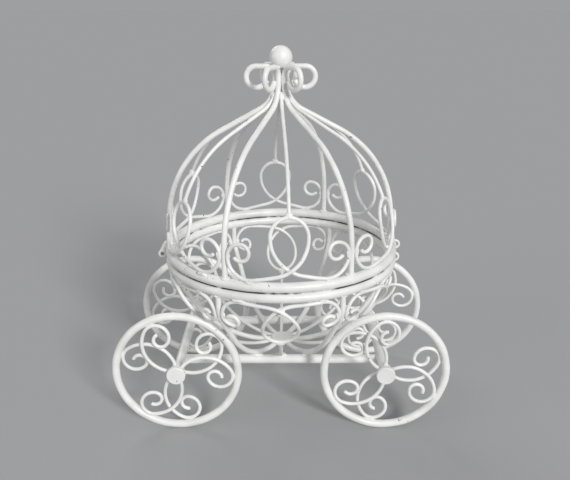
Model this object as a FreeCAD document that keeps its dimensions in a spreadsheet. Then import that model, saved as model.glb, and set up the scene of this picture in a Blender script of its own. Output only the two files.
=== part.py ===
# Domed wire coach: a card box of welded, white painted wire that stands on four wheels.
# A bowl and a hinged dome, each with six ribs and six scroll panels, sit on two rails.
# Units are millimetres. The origin is on the floor below the middle of the coach,
# X runs along the rails, Y along the axles and Z up. The front is at negative Y.
import FreeCAD, Part
import math
import os

from FreeCAD import Placement, Rotation, Vector

# Driving sizes: name, value, meaning. Angles are in degrees.
SIZES = (
    ("ring_rod", 8.0, "rod of the two mouth rings"),
    ("rib_rod", 4.5, "rod of the ribs"),
    ("scroll_wire", 3.0, "wire of the scroll panels"),
    ("stay_wire", 3.0, "wire of the stays between a panel and the neck or floor"),
    ("rail_rod", 8.0, "rod of the two rails"),
    ("axle_rod", 8.0, "rod of the two axles between the wheels"),
    ("rim_rod", 6.5, "rod of the wheel rims"),
    ("spoke_wire", 3.0, "wire of the wheel spokes"),
    ("weld_sink", 0.2, "depth that two wires melt into each other where they touch"),
    ("strand_gap", 0.3, "gap between two strands that cross"),
    ("mouth_radius", 96.0, "centre line of the mouth rings"),
    ("ring_gap", 0.4, "gap between the closed rings"),
    ("dome_wall", 22.5, "upright start of a dome rib above the ring's centre"),
    ("dome_radius", 89.0, "round of the dome"),
    ("dome_turn", 62.0, "turn of that round"),
    ("ogee_radius", 24.5, "hollow round below the neck"),
    ("neck_gap", 0.05, "gap between neighbouring ribs in the neck"),
    ("crown_rise", 4.7, "upright rib end above the hollow round"),
    ("crown_bend", 8.0, "outward bend of the rib above the neck"),
    ("crown_reach", 7.0, "level run from that bend to the curl"),
    ("crown_curl", 8.4, "radius of the curl at the rib's end"),
    ("crown_turn", 235.0, "turn of that curl"),
    ("crown_tail", 3.0, "straight end of that curl"),
    ("ball_diameter", 18.8, "finial ball, which rests in the bends of the ribs"),
    ("stem_length", 23.0, "finial stem from its lower end to the ball's centre"),
    ("bowl_wall", 11.6, "upright start of a bowl rib below the ring's centre"),
    ("shoulder_radius", 31.0, "round below the bowl's wall"),
    ("bowl_turn", 34.0, "turn of that round"),
    ("belly_radius", 79.6, "round from the flank to the floor"),
    ("level_run", 4.0, "level end of a bowl wire, from the belly round to its end in the floor plate"),
    ("plate_diameter", 18.0, "floor plate that gathers the bowl's wires"),
    ("plate_thickness", 5.5, "floor plate, along Z"),
    ("plate_entry", 2.0, "run of a wire inside the plate's edge before it is coped"),
    ("scroll_stand", 1.2, "how far the scroll panels stand outside the ribs"),
    ("lid_loop_tip", 53.5, "top of a lid panel's loop, along the rib from the ring's centre"),
    ("lid_loop_radius", 14.4, "round end of that loop"),
    ("lid_flank_radius", 31.0, "flanks of that loop"),
    ("lid_curl_outer", 17.0, "first quarter of the curls beside that loop"),
    ("lid_curl_middle", 10.5, "second quarter of those curls"),
    ("lid_curl_inner", 6.5, "inner end of those curls"),
    ("bowl_loop_tip", 52.5, "foot of a bowl panel's loop, along the rib from the ring's centre"),
    ("bowl_loop_radius", 15.6, "round end of that loop"),
    ("bowl_flank_radius", 30.0, "flanks of that loop"),
    ("bowl_curl_outer", 14.5, "first quarter of the curls beside that loop"),
    ("bowl_curl_middle", 8.5, "second quarter of those curls"),
    ("bowl_curl_inner", 5.0, "inner end of those curls"),
    ("curl_turn", 235.0, "turn of the inner end of a panel's curl"),
    ("lid_clock", 4.0, "turn of the dome's pattern on its ring"),
    ("wheel_radius", 54.0, "wheel, to the outside of its rim"),
    ("wheel_base", 173.0, "from axle to axle"),
    ("wheel_gap", 0.42105, "least gap between the wheel rims and the bowl's wires"),
    ("rail_spread", 75.6, "from rail to rail, between their centres"),
    ("rail_drop", 3.1, "rails below the axles, between their centres"),
    ("hub_diameter", 11.0, "hub bush"),
    ("hub_length", 8.5, "hub bush, along the axle"),
    ("journal_diameter", 5.0, "end of the axle that the hub turns on"),
    ("hub_clearance", 0.05, "running clearance of the hub on its journal, on the radius"),
    ("end_play", 0.3, "gap at each end of the hub"),
    ("cap_diameter", 15.6, "cap pressed on the axle's end"),
    ("cap_thickness", 3.5, "that cap, along the axle"),
    ("cap_grip", 2.5, "depth of the journal in the cap"),
    ("cap_round", 0.8, "rounded outer edge of the cap"),
    ("petal_reach", 19.0, "from the wheel's centre to the widest place of a spoke petal"),
    ("petal_width", 14.4, "petal at that place, between its wires"),
    ("petal_curl", 10.5, "large curl of a spoke, which touches the rim"),
    ("petal_curl_inner", 5.8, "inner end of that curl"),
    ("petal_curl_turn", 205.0, "turn of that inner end"),
    ("petal_spread", 23.0, "angle from the petal's middle to where a spoke touches the rim"),
    ("front_left_phase", 18.0, "petal angle of the front left wheel, seen from the front"),
    ("front_right_phase", -6.0, "petal angle of the front right wheel"),
    ("rear_left_phase", 53.0, "petal angle of the rear left wheel"),
    ("rear_right_phase", 41.0, "petal angle of the rear right wheel"),
    ("knuckle_diameter", 6.8, "hinge knuckles"),
    ("knuckle_length", 8.0, "each of the three knuckles, along the pin"),
    ("knuckle_gap", 0.4, "gap between neighbouring knuckles"),
    ("knuckle_stand", 0.5, "gap between the knuckles and the rings"),
    ("strut_diameter", 4.0, "strut from a knuckle to its ring"),
    ("pin_diameter", 3.2, "hinge pin"),
    ("pin_clearance", 0.05, "running clearance of the pin in the lid's knuckle, on the radius"),
    ("pin_recess", 0.5, "pin's ends behind the knuckles' ends"),
    ("eye_wire", 2.0, "wire of the two closure eyes"),
    ("eye_radius", 3.5, "centre line of those eyes"),
    ("lid_eye_rise", 0.3, "lid's eye above the centre of its ring"),
    ("base_eye_drop", 3.0, "base's eye below the centre of its ring"),
)
SIDES = 6
PETALS = 3
AXIS_X = Vector(1, 0, 0)
AXIS_Y = Vector(0, 1, 0)
AXIS_Z = Vector(0, 0, 1)
SAMPLE_TURN = math.radians(32)
SAMPLE_LENGTH = 9.0
CLEAR_STEP = 0.5
TINY = 1e-6

doc = FreeCAD.newDocument("wire_coach")
sheet = doc.addObject("Spreadsheet::Sheet", "Sizes")


def set_size(row, alias, value, meaning):
    sheet.set("A%d" % row, alias)
    sheet.set("B%d" % row, str(value))
    sheet.setAlias("B%d" % row, alias)
    sheet.set("C%d" % row, meaning)


for place, entry in enumerate(SIZES, 1):
    set_size(place, *entry)
doc.recompute()


def size(alias):
    return float(sheet.get(alias))


class Plan:
    """Flat bending plan: straights and arcs that follow each other without a corner."""

    def __init__(self, x, y, heading):
        self.point = (x, y)
        self.heading = math.radians(heading)
        self.spans = []

    def straight(self, length):
        return self._add(length, 0.0)

    def arc(self, radius, degrees):
        """Positive degrees turn left, negative ones right."""
        turn = math.radians(degrees)
        return self._add(radius * abs(turn), math.copysign(1 / radius, turn))

    def _add(self, length, curvature):
        span = (self.point, self.heading, length, curvature)
        self.spans.append(span)
        self.point = span_point(span, length, 0.0)
        self.heading += curvature * length
        return self

    def length(self):
        return sum(span[2] for span in self.spans)

    def at(self, distance, left=0.0):
        """Point at a distance along the plan, moved to its left."""
        for span in self.spans[:-1]:
            if distance <= span[2]:
                return span_point(span, distance, left)
            distance -= span[2]
        return span_point(self.spans[-1], distance, left)

    def edges(self, lift, start=0.0, end=None, left=0.0):
        """Edges of a stretch of the plan, moved to its left and set in space by lift."""
        end = self.length() if end is None else end
        result = []
        passed = 0.0
        for span in self.spans:
            low = max(start - passed, 0.0)
            high = min(end - passed, span[2])
            passed += span[2]
            if high - low < TINY:
                continue
            first, middle, last = (
                lift(*span_point(span, place, left)) for place in (low, (low + high) / 2, high)
            )
            if span[3] == 0:
                result.append(Part.LineSegment(first, last).toShape())
            else:
                result.append(Part.Arc(first, middle, last).toShape())
        return result

    def stations(self):
        """Distances along the plan, closer together where it bends more."""
        result = [0.0]
        for length, curvature in ((span[2], span[3]) for span in self.spans):
            steps = math.ceil(max(length * abs(curvature) / SAMPLE_TURN, length / SAMPLE_LENGTH))
            begin = result[-1]
            result += [begin + length * step / steps for step in range(1, steps + 1)]
        return result


def span_point(span, distance, left):
    (x, y), heading, length, curvature = span
    turned = heading + curvature * distance
    if curvature == 0:
        x += distance * math.cos(heading)
        y += distance * math.sin(heading)
    else:
        x += (math.sin(turned) - math.sin(heading)) / curvature
        y -= (math.cos(turned) - math.cos(heading)) / curvature
    return x - left * math.sin(turned), y + left * math.cos(turned)


def upright(r, z):
    return Vector(r, 0, z)


def turned(degrees):
    return Placement(Vector(), Rotation(AXIS_Z, degrees))


def raised(z):
    return Placement(Vector(0, 0, z), Rotation())


def bind(item, **expressions):
    for prop, expression in expressions.items():
        item.setExpression(prop, expression)
    return item


def rod(name, edges, diameter):
    """Round rod along connected edges; diameter is the name of its size."""
    path = doc.addObject("Part::Feature", name + "_path")
    path.Shape = Part.Wire(edges)
    first = edges[0]
    facing = Rotation(AXIS_Z, first.tangentAt(first.FirstParameter))
    section = doc.addObject("Part::Circle", name + "_section")
    section.Placement = Placement(first.valueAt(first.FirstParameter), facing)
    bind(section, Radius="Sizes.%s / 2" % diameter)
    sweep = doc.addObject("Part::Sweep", name)
    sweep.Sections = [section]
    sweep.Spine = (path, [""])
    sweep.Solid = True
    sweep.Frenet = False
    sweep.Transition = "Transformed"
    return sweep


def cut(name, base, tool):
    result = doc.addObject("Part::Cut", name)
    result.Base = base
    result.Tool = tool
    return result


def cylinder(name, radius, height, placement):
    item = doc.addObject("Part::Cylinder", name)
    item.Placement = placement
    return bind(item, Radius=radius, Height=height)


def torus(name, radius, tube, placement):
    item = doc.addObject("Part::Torus", name)
    item.Placement = placement
    return bind(item, Radius1=radius, Radius2=tube)


def copy_of(name, master, placement):
    """Same bent piece, set in its own place."""
    item = doc.addObject("Part::Feature", name)
    item.Shape = master.Shape
    item.Placement = placement.multiply(master.Placement)
    return item


def group_of(name, master, placements):
    """Several same pieces kept together as one sub-part of separate solids."""
    item = doc.addObject("Part::Feature", name)
    item.Shape = Part.makeCompound([placed(master, placement) for placement in placements])
    return item


def placed(master, placement):
    shape = master.Shape.copy()
    shape.Placement = placement.multiply(shape.Placement)
    return shape


# Heights, from the floor up
ring_r = size("ring_rod") / 2
rib_r = size("rib_rod") / 2
scroll_r = size("scroll_wire") / 2
stay_r = size("stay_wire") / 2
rail_r = size("rail_rod") / 2
sink = size("weld_sink")
mouth = size("mouth_radius")
plate_r = size("plate_diameter") / 2
pole_r = plate_r - size("plate_entry") + size("level_run")
axle_z = size("wheel_radius")
rail_z = axle_z - size("rail_drop")
rail_y = size("rail_spread") / 2


def bowl_profile(ring_z):
    """Bowl rib from the ring's centre down to inside the floor plate."""
    turn = math.radians(size("bowl_turn"))
    shoulder = size("shoulder_radius")
    belly = size("belly_radius")
    flank = (mouth - shoulder * (1 - math.cos(turn)) - pole_r - belly * math.cos(turn)) / math.sin(turn)
    plan = Plan(mouth, ring_z, -90)
    plan.straight(size("bowl_wall"))
    plan.arc(shoulder, -size("bowl_turn"))
    plan.straight(flank)
    plan.arc(belly, size("bowl_turn") - 90)
    return plan.straight(size("level_run"))


def rest_height():
    """Height of a rib's centre above the rail's centre where the slanted ribs lie on the rails."""
    slant = math.radians(360 / SIDES)
    belly = size("belly_radius")
    along = rail_y / math.sin(slant) - pole_r
    slope = math.asin(along / belly)
    drop = belly * (1 - math.cos(slope))
    square = math.hypot(math.sin(slope), math.sin(slant) * math.cos(slope))
    apart = (rail_r + rib_r - sink) * square / (math.sin(slant) * math.cos(slope))
    return apart - drop


floor_z = rail_z + rest_height()
base_z = floor_z - bowl_profile(0.0).point[1]
lid_z = base_z + size("ring_rod") + size("ring_gap")
bowl = bowl_profile(base_z)


def stay_lift():
    """How far the bowl's stays lie inside the ribs, so that two of them rest on the rails."""
    belly = size("belly_radius")
    reach = math.hypot(rail_y - pole_r, floor_z + belly - rail_z)
    return belly - (reach - (rail_r + stay_r - sink))


def dome_profile():
    """Dome rib from the ring's centre up to the start of the neck."""
    turn = math.radians(size("dome_turn"))
    dome = size("dome_radius")
    ogee = size("ogee_radius")
    rounds = (dome + ogee) * (1 - math.cos(turn))
    slope = (mouth - neck_r - rounds) / math.sin(turn)
    plan = Plan(mouth, lid_z, 90)
    plan.straight(size("dome_wall"))
    plan.arc(dome, size("dome_turn"))
    plan.straight(slope)
    return plan.arc(ogee, -size("dome_turn"))


neck_r = 2 * rib_r + size("neck_gap")
dome = dome_profile()
neck_z = dome.point[1]
bend_z = neck_z + size("crown_rise")

# Mouth rings
lid_ring = torus("lid_ring", "Sizes.mouth_radius", "Sizes.ring_rod / 2", raised(lid_z))
base_ring = torus("base_ring", "Sizes.mouth_radius", "Sizes.ring_rod / 2", raised(base_z))
parts = [lid_ring, base_ring]


def lid_rib_plan():
    plan = dome_profile()
    plan.straight(size("crown_rise"))
    plan.arc(size("crown_bend"), -90)
    plan.straight(size("crown_reach"))
    plan.arc(size("crown_curl"), -size("crown_turn"))
    return plan.straight(size("crown_tail"))


def add_ring_of(name, master, first):
    """Six same pieces round the coach, the first at an angle from X."""
    for side in range(SIDES):
        place = turned(first + side * 360 / SIDES)
        parts.append(copy_of("%s_%d" % (name, side + 1), master, place))


def add_ribs():
    lid_blank = rod("lid_rib_blank", lid_rib_plan().edges(upright), "rib_rod")
    bowl_blank = rod("bowl_rib_blank", bowl.edges(upright), "rib_rod")
    lid_rib = cut("lid_rib", lid_blank, lid_ring)
    bowl_rib = cut("bowl_rib", cut("bowl_rib_top", bowl_blank, base_ring), floor_plate)
    doc.recompute()
    add_ring_of("lid_rib", lid_rib, size("lid_clock"))
    add_ring_of("bowl_rib", bowl_rib, 0)


def biarc(start, leave, end, arrive):
    """Two arcs in space that leave the start and reach the end along the given directions."""
    across = end - start
    both = across.dot(leave + arrive)
    spread = 2 * (1 - leave.dot(arrive))
    if spread < TINY:
        reach = across.dot(across) / (2 * both)
    else:
        reach = (math.sqrt(both * both + spread * across.dot(across)) - both) / spread
    joint = (start + end + (leave - arrive) * reach) * 0.5
    return [bent_edge(start, joint, leave), bent_edge(joint, end, end - arrive * reach - joint)]


def bent_edge(start, end, toward):
    """Arc between two points, on the side of the chord that a direction at its start points to."""
    chord = end - start
    along = Vector(chord).normalize()
    heading = Vector(toward).normalize()
    side = heading - along * heading.dot(along)
    angle = math.atan2(side.Length, heading.dot(along))
    if angle < TINY:
        return Part.LineSegment(start, end).toShape()
    rise = side.normalize() * (chord.Length / 2 * math.tan(angle / 2))
    return Part.Arc(start, (start + end) * 0.5 + rise, end).toShape()


class Panel:
    """One scroll wire bent over the ribs: curl, ring, crossing, loop and the same mirrored."""

    def __init__(self, prefix, profile, outward, tip_stand):
        self.profile = profile
        self.outward = outward
        self.tip_stand = tip_stand
        self.stand = size("scroll_stand")
        self.touch = math.sqrt((ring_r + scroll_r - sink) ** 2 - self.stand ** 2)
        self.tip = size(prefix + "_loop_tip")
        self.plan_half(prefix)

    def plan_half(self, prefix):
        """Flat half of the wire, from the loop's tip to the end of one curl."""
        loop = size(prefix + "_loop_radius")
        flank = size(prefix + "_flank_radius")
        outer, middle, inner = (size(prefix + "_curl_" + part) for part in ("outer", "middle", "inner"))
        beside = math.sqrt((rib_r + scroll_r - sink) ** 2 - self.stand ** 2)
        local = self.profile.at(self.touch + outer)[0]
        edge = mouth * (math.pi / SIDES - beside / local)
        dx = outer - edge - (loop - flank)
        dy = self.touch + outer - (self.tip - loop)
        run = math.sqrt(dx * dx + dy * dy - (outer - flank) ** 2)
        heading = math.degrees(math.atan2(dy, dx) + math.atan2(outer - flank, run)) % 360 - 360
        plan = Plan(0, self.tip, 0)
        plan.arc(loop, -90)
        plan.arc(flank, heading + 90)
        plan.straight(run)
        plan.arc(outer, -180 - heading)
        self.touch_at = plan.length()
        self.cross_at = crossing(plan)
        plan.arc(outer, -90)
        plan.arc(middle, -90)
        self.half = plan.arc(inner, -size("curl_turn"))

    def point(self, distance, hand):
        """Point of the wire; hand is 1 for one half and -1 for its mirror image."""
        u, v = self.half.at(distance)
        share = min(distance / self.touch_at, 1.0)
        stand = self.tip_stand + (self.stand - self.tip_stand) * share * share * (3 - 2 * share)
        window = (distance - self.cross_at) / (self.touch_at - self.cross_at)
        if abs(window) < 1:
            stand += hand * (scroll_r + size("strand_gap") / 2) * math.cos(window * math.pi / 2) ** 2
        r, z = self.profile.at(v, self.outward * stand)
        angle = hand * u / mouth
        return Vector(r * math.cos(angle), r * math.sin(angle), z)

    def direction(self, distance, hand):
        step = 0.01
        ahead = self.point(distance + step, hand) - self.point(distance - step, hand)
        return ahead.normalize()

    def edges(self):
        beyond = self.half.stations()[1:]
        route = [(self.point(place, 1), self.direction(place, 1) * -1) for place in reversed(beyond)]
        route.append((self.point(0.0, 1), AXIS_Y * -1))
        route += [(self.point(place, -1), self.direction(place, -1)) for place in beyond]
        result = []
        for (start, leave), (end, arrive) in zip(route, route[1:]):
            result += biarc(start, leave, end, arrive)
        return result


def crossing(plan):
    """Distance at which a plan that starts on the middle line comes back to it."""
    low = plan.spans[0][2]
    high = plan.length()
    for _ in range(50):
        middle = (low + high) / 2
        if plan.at(middle)[0] > 0:
            low = middle
        else:
            high = middle
    return low


bowl_panel = Panel("bowl", bowl, 1, -stay_lift())


def add_scrolls():
    half_side = 180 / SIDES
    lid_panel = Panel("lid", dome, -1, 0.0)
    lid_scroll = rod("lid_scroll", lid_panel.edges(), "scroll_wire")
    bowl_scroll = rod("bowl_scroll", bowl_panel.edges(), "scroll_wire")
    doc.recompute()
    add_ring_of("lid_scroll", lid_scroll, size("lid_clock") + half_side)
    add_ring_of("bowl_scroll", bowl_scroll, half_side)


def add_stays():
    half_side = 180 / SIDES
    joined = scroll_r - sink
    wedge = (rib_r + stay_r - sink) / (2 * math.sin(math.radians(half_side) / 2))
    left = math.acos(1 - (wedge - neck_r) / size("ogee_radius"))
    end = dome.length() - size("ogee_radius") * left
    start = size("lid_loop_tip") + joined
    lid_stay = rod("lid_stay", dome.edges(upright, start, end), "stay_wire")
    lift = stay_lift()
    start = size("bowl_loop_tip") + joined
    blank = rod("bowl_stay_blank", bowl.edges(upright, start, None, -lift), "stay_wire")
    bowl_stay = cut("bowl_stay", blank, floor_plate)
    doc.recompute()
    add_ring_of("lid_stay", lid_stay, size("lid_clock") + half_side)
    around = [turned(half_side + side * 360 / SIDES) for side in range(SIDES)]
    parts.append(group_of("bowl_stays", bowl_stay, around))


def add_floor_plate():
    low = raised(floor_z - size("plate_thickness") / 2)
    plate = cylinder("floor_plate", "Sizes.plate_diameter / 2", "Sizes.plate_thickness", low)
    parts.append(plate)
    return plate


def add_finial():
    ball_r = size("ball_diameter") / 2
    nest = size("crown_bend") + ball_r + rib_r - sink
    ball_z = bend_z + math.sqrt(nest ** 2 - (neck_r + size("crown_bend")) ** 2)
    ball = doc.addObject("Part::Sphere", "finial_ball")
    ball.Placement = raised(ball_z)
    bind(ball, Radius="Sizes.ball_diameter / 2")
    stem_radius = "Sizes.rib_rod / 2 + Sizes.neck_gap"
    foot = raised(ball_z - size("stem_length"))
    blank = cylinder("finial_stem_blank", stem_radius, "Sizes.stem_length", foot)
    parts.extend([ball, cut("finial_stem", blank, ball)])


floor_plate = add_floor_plate()
add_ribs()
add_scrolls()
add_stays()
add_finial()


# Chassis
def spaced(length):
    """Distances along a wire, close enough together to measure a gap."""
    count = math.ceil(length / CLEAR_STEP)
    return [length * step / count for step in range(count + 1)]


def beside_wheels():
    """Points that the wheels have to clear, each with its wire's radius."""
    ribs = [upright(*bowl.at(place)) for place in spaced(bowl.length())]
    scrolls = [
        bowl_panel.point(place, hand) for place in spaced(bowl_panel.half.length()) for hand in (1, -1)
    ]
    points = [(Vector(size("wheel_base") / 2, rail_y, rail_z), rail_r)]
    for side in range(SIDES):
        rib_turn = turned(side * 360 / SIDES)
        panel_turn = turned((side + 0.5) * 360 / SIDES)
        points += [(rib_turn.multVec(point), rib_r) for point in ribs]
        points += [(panel_turn.multVec(point), scroll_r) for point in scrolls]
    return points


def clear_track():
    """Least track at which the rims pass the bowl and the rails with the wheel gap."""
    rim_r = size("rim_rod") / 2
    circle = size("wheel_radius") - rim_r
    half = 0.0
    for point, radius in beside_wheels():
        clear = rim_r + radius + size("wheel_gap")
        from_axle = math.hypot(abs(point.x) - size("wheel_base") / 2, point.z - axle_z)
        apart = max(from_axle - circle, 0.0)
        if apart < clear:
            half = max(half, abs(point.y) + math.sqrt(clear ** 2 - apart ** 2))
    return 2 * half


set_size(
    len(SIZES) + 1, "wheel_track", clear_track(), "from front wheel to rear wheel, between their mid planes"
)
doc.recompute()


def along_y(x, y, z):
    """Placement that lays an upright piece along Y from a point."""
    return Placement(Vector(x, y, z), Rotation(AXIS_X, -90))


def add_axle(name, x):
    """Axle rod between the wheels, with a thinner journal at each end."""
    shoulder = size("wheel_track") / 2 - size("hub_length") / 2 - size("end_play")
    reach = size("wheel_track") / 2 + size("hub_length") / 2 + size("end_play") + size("cap_grip")
    middle = "Sizes.wheel_track - Sizes.hub_length - 2 * Sizes.end_play"
    whole = "Sizes.wheel_track + Sizes.hub_length + 2 * Sizes.end_play + 2 * Sizes.cap_grip"
    thick = cylinder(name + "_middle", "Sizes.axle_rod / 2", middle, along_y(x, -shoulder, axle_z))
    thin = cylinder(name + "_journals", "Sizes.journal_diameter / 2", whole, along_y(x, -reach, axle_z))
    axle = doc.addObject("Part::Fuse", name)
    axle.Base = thick
    axle.Tool = thin
    parts.append(axle)
    return axle


def add_rail(name, y):
    """Rail between the axles, its ends coped to their rods."""
    lay = Placement(Vector(-size("wheel_base") / 2, y, rail_z), Rotation(AXIS_Y, 90))
    blank = cylinder(name + "_blank", "Sizes.rail_rod / 2", "Sizes.wheel_base", lay)
    parts.append(cut(name, cut(name + "_left_cope", blank, left_axle), right_axle))


left_axle = add_axle("left_axle", -size("wheel_base") / 2)
right_axle = add_axle("right_axle", size("wheel_base") / 2)
add_rail("front_rail", -rail_y)
add_rail("rear_rail", rail_y)


# Wheels, each drawn flat with its outer face up
def spoke_plan():
    """One spoke in its petal's frame: bow from the hub, then a curl that touches the rim."""
    spoke_r = size("spoke_wire") / 2
    rim_r = size("rim_rod") / 2
    layer = spoke_r + size("strand_gap") / 2
    contact = size("wheel_radius") - rim_r - math.sqrt((rim_r + spoke_r - sink) ** 2 - layer ** 2)
    curl = size("petal_curl")
    spread = math.radians(size("petal_spread"))
    curl_x = (contact - curl) * math.cos(spread)
    curl_y = -(contact - curl) * math.sin(spread)
    apex_x = size("petal_reach")
    apex_y = size("petal_width") / 2
    beyond = curl_x - apex_x
    below = curl_y - apex_y
    bow = (curl ** 2 - beyond ** 2 - below ** 2) / (2 * (below + curl))
    bow_y = apex_y - bow
    inside = size("hub_diameter") / 2 - spoke_r
    away = math.hypot(apex_x, bow_y)
    nearer = (inside ** 2 - bow ** 2 + away ** 2) / (2 * away)
    aside = math.sqrt(inside ** 2 - nearer ** 2)
    start_x = (nearer * apex_x - aside * bow_y) / away
    start_y = (nearer * bow_y + aside * apex_x) / away
    start = math.degrees(math.atan2(start_y - bow_y, start_x - apex_x))
    end = math.degrees(math.atan2(curl_y - bow_y, beyond))
    plan = Plan(start_x, start_y, start - 90)
    plan.arc(bow, end - start)
    plan.arc(curl, -180 - end)
    return plan.arc(size("petal_curl_inner"), -size("petal_curl_turn"))


def wheel_masters():
    """Hub bush, spokes coped to it, and cap, about the upright axis."""
    half = size("hub_length") / 2
    running = "Sizes.journal_diameter / 2 + Sizes.hub_clearance"
    bush = cylinder("hub_bush", "Sizes.hub_diameter / 2", "Sizes.hub_length", raised(-half))
    bore = cylinder("hub_bore", running, "Sizes.hub_length", raised(-half))
    hub = cut("hub", bush, bore)
    layer = (size("spoke_wire") + size("strand_gap")) / 2
    plan = spoke_plan()
    upper = rod("spoke_upper", plan.edges(lambda x, y: Vector(x, y, layer)), "spoke_wire")
    lower = rod("spoke_lower", plan.edges(lambda x, y: Vector(x, -y, -layer)), "spoke_wire")
    doc.recompute()
    around = [turned(petal * 360 / PETALS) for petal in range(PETALS)]
    wires = doc.addObject("Part::Feature", "spoke_blanks")
    wires.Shape = Part.makeCompound([placed(wire, turn) for wire in (upper, lower) for turn in around])
    return hub, cut("spokes", wires, bush)


def cap_master():
    """Round cap with a blind bore that grips the journal."""
    seat = size("hub_length") / 2 + size("end_play")
    disc = cylinder("cap_disc", "Sizes.cap_diameter / 2", "Sizes.cap_thickness", raised(seat))
    doc.recompute()
    rim = [number for number, edge in enumerate(disc.Shape.Edges, 1) if is_top_rim(edge, disc)]
    rounded = doc.addObject("Part::Fillet", "cap_rounded")
    rounded.Base = disc
    rounded.Edges = [(number, size("cap_round"), size("cap_round")) for number in rim]
    bore = cylinder("cap_bore", "Sizes.journal_diameter / 2", "Sizes.cap_grip", raised(seat))
    return cut("cap", rounded, bore)


def is_top_rim(edge, disc):
    top = disc.Placement.Base.z + disc.Height.Value
    return all(abs(vertex.Z - top) < TINY for vertex in edge.Vertexes)


def wheel_place(x_side, y_side):
    """Place of a wheel; its outer face looks away from the coach."""
    centre = Vector(x_side * size("wheel_base") / 2, y_side * size("wheel_track") / 2, axle_z)
    return Placement(centre, Rotation(AXIS_X, -90 * y_side))


def add_wheels():
    hub, spokes = wheel_masters()
    cap = cap_master()
    doc.recompute()
    caps = []
    for end, y_side in (("front", -1), ("rear", 1)):
        for side, x_side in (("left", -1), ("right", 1)):
            name = "%s_%s" % (end, side)
            place = wheel_place(x_side, y_side)
            phase = turned(-y_side * size(name + "_phase"))
            radius = "Sizes.wheel_radius - Sizes.rim_rod / 2"
            parts.append(torus("wheel_%s_rim" % name, radius, "Sizes.rim_rod / 2", place))
            parts.append(copy_of("wheel_%s_spokes" % name, spokes, place.multiply(phase)))
            parts.append(copy_of("wheel_%s_hub" % name, hub, place))
            caps.append(place)
    parts.append(group_of("axle_caps", cap, caps))


add_wheels()

# Hinge on the left: three knuckles on a pin that lies along Y, level with the split
hinge_z = (base_z + lid_z) / 2
hinge_x = -mouth - math.sqrt(
    (ring_r + size("knuckle_diameter") / 2 + size("knuckle_stand")) ** 2 - (lid_z - hinge_z) ** 2
)
knuckle_pitch = size("knuckle_length") + size("knuckle_gap")


def knuckle(name, y, ring, ring_z, bore_radius):
    """Barrel with a strut that is coped to its ring, bored for the pin."""
    lay = along_y(hinge_x, y - size("knuckle_length") / 2, hinge_z)
    barrel = cylinder(name + "_barrel", "Sizes.knuckle_diameter / 2", "Sizes.knuckle_length", lay)
    toward = Vector(-math.sqrt(mouth ** 2 - y ** 2) - hinge_x, 0, ring_z - hinge_z)
    strut = doc.addObject("Part::Cylinder", name + "_strut")
    strut.Placement = Placement(Vector(hinge_x, y, hinge_z), Rotation(AXIS_Z, toward))
    bind(strut, Radius="Sizes.strut_diameter / 2")
    strut.Height = toward.Length
    joined = doc.addObject("Part::Fuse", name + "_blank")
    joined.Base = barrel
    joined.Tool = strut
    bore = cylinder(name + "_bore", bore_radius, "Sizes.knuckle_length", lay)
    return cut(name, cut(name + "_cope", joined, ring), bore)


def add_hinge():
    running = "Sizes.pin_diameter / 2 + Sizes.pin_clearance"
    parts.append(knuckle("lid_knuckle", 0.0, lid_ring, lid_z, running))
    front = knuckle("front_knuckle", -knuckle_pitch, base_ring, base_z, "Sizes.pin_diameter / 2")
    rear = knuckle("rear_knuckle", knuckle_pitch, base_ring, base_z, "Sizes.pin_diameter / 2")
    pair = doc.addObject("Part::Compound", "base_knuckles")
    pair.Links = [front, rear]
    reach = knuckle_pitch + size("knuckle_length") / 2 - size("pin_recess")
    length = "3 * Sizes.knuckle_length + 2 * Sizes.knuckle_gap - 2 * Sizes.pin_recess"
    pin = cylinder("hinge_pin", "Sizes.pin_diameter / 2", length, along_y(hinge_x, -reach, hinge_z))
    parts.extend([pair, pin])


def eye_loop(name, z):
    """Closure eye on the right, an upright loop of wire."""
    centre = Placement(Vector(mouth + ring_r, 0, z), Rotation(AXIS_X, 90))
    return torus(name + "_loop", "Sizes.eye_radius", "Sizes.eye_wire / 2", centre)


def add_eyes():
    """The lid's eye is coped to its ring, the base's eye also to the rib behind it."""
    upper = eye_loop("lid_eye", lid_z + size("lid_eye_rise"))
    lower = eye_loop("base_eye", base_z - size("base_eye_drop"))
    rib = next(part for part in parts if part.Label == "bowl_rib_1")
    parts.append(cut("lid_eye", upper, lid_ring))
    parts.append(cut("base_eye", cut("base_eye_cope", lower, base_ring), rib))


add_hinge()
add_eyes()
doc.recompute()


def write_parts():
    """Write every sub-part once the whole document is sound."""
    for item in doc.Objects:
        if "Invalid" in item.State or "Error" in item.State:
            raise RuntimeError("%s failed: %s" % (item.Label, item.State))
    for part in parts:
        shape = part.Shape
        if shape.isNull() or not shape.isValid() or not shape.Solids:
            raise RuntimeError("%s has no sound shape" % part.Label)
    os.makedirs("parts", exist_ok=True)
    for part in parts:
        part.Shape.exportStep("parts/%s.step" % part.Label)
        print("%-26s %d solids %9.1f mm3" % (part.Label, len(part.Shape.Solids), part.Shape.Volume))


write_parts()
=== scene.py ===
"""Looks of the wire coach card box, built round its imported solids."""
import math

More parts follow.
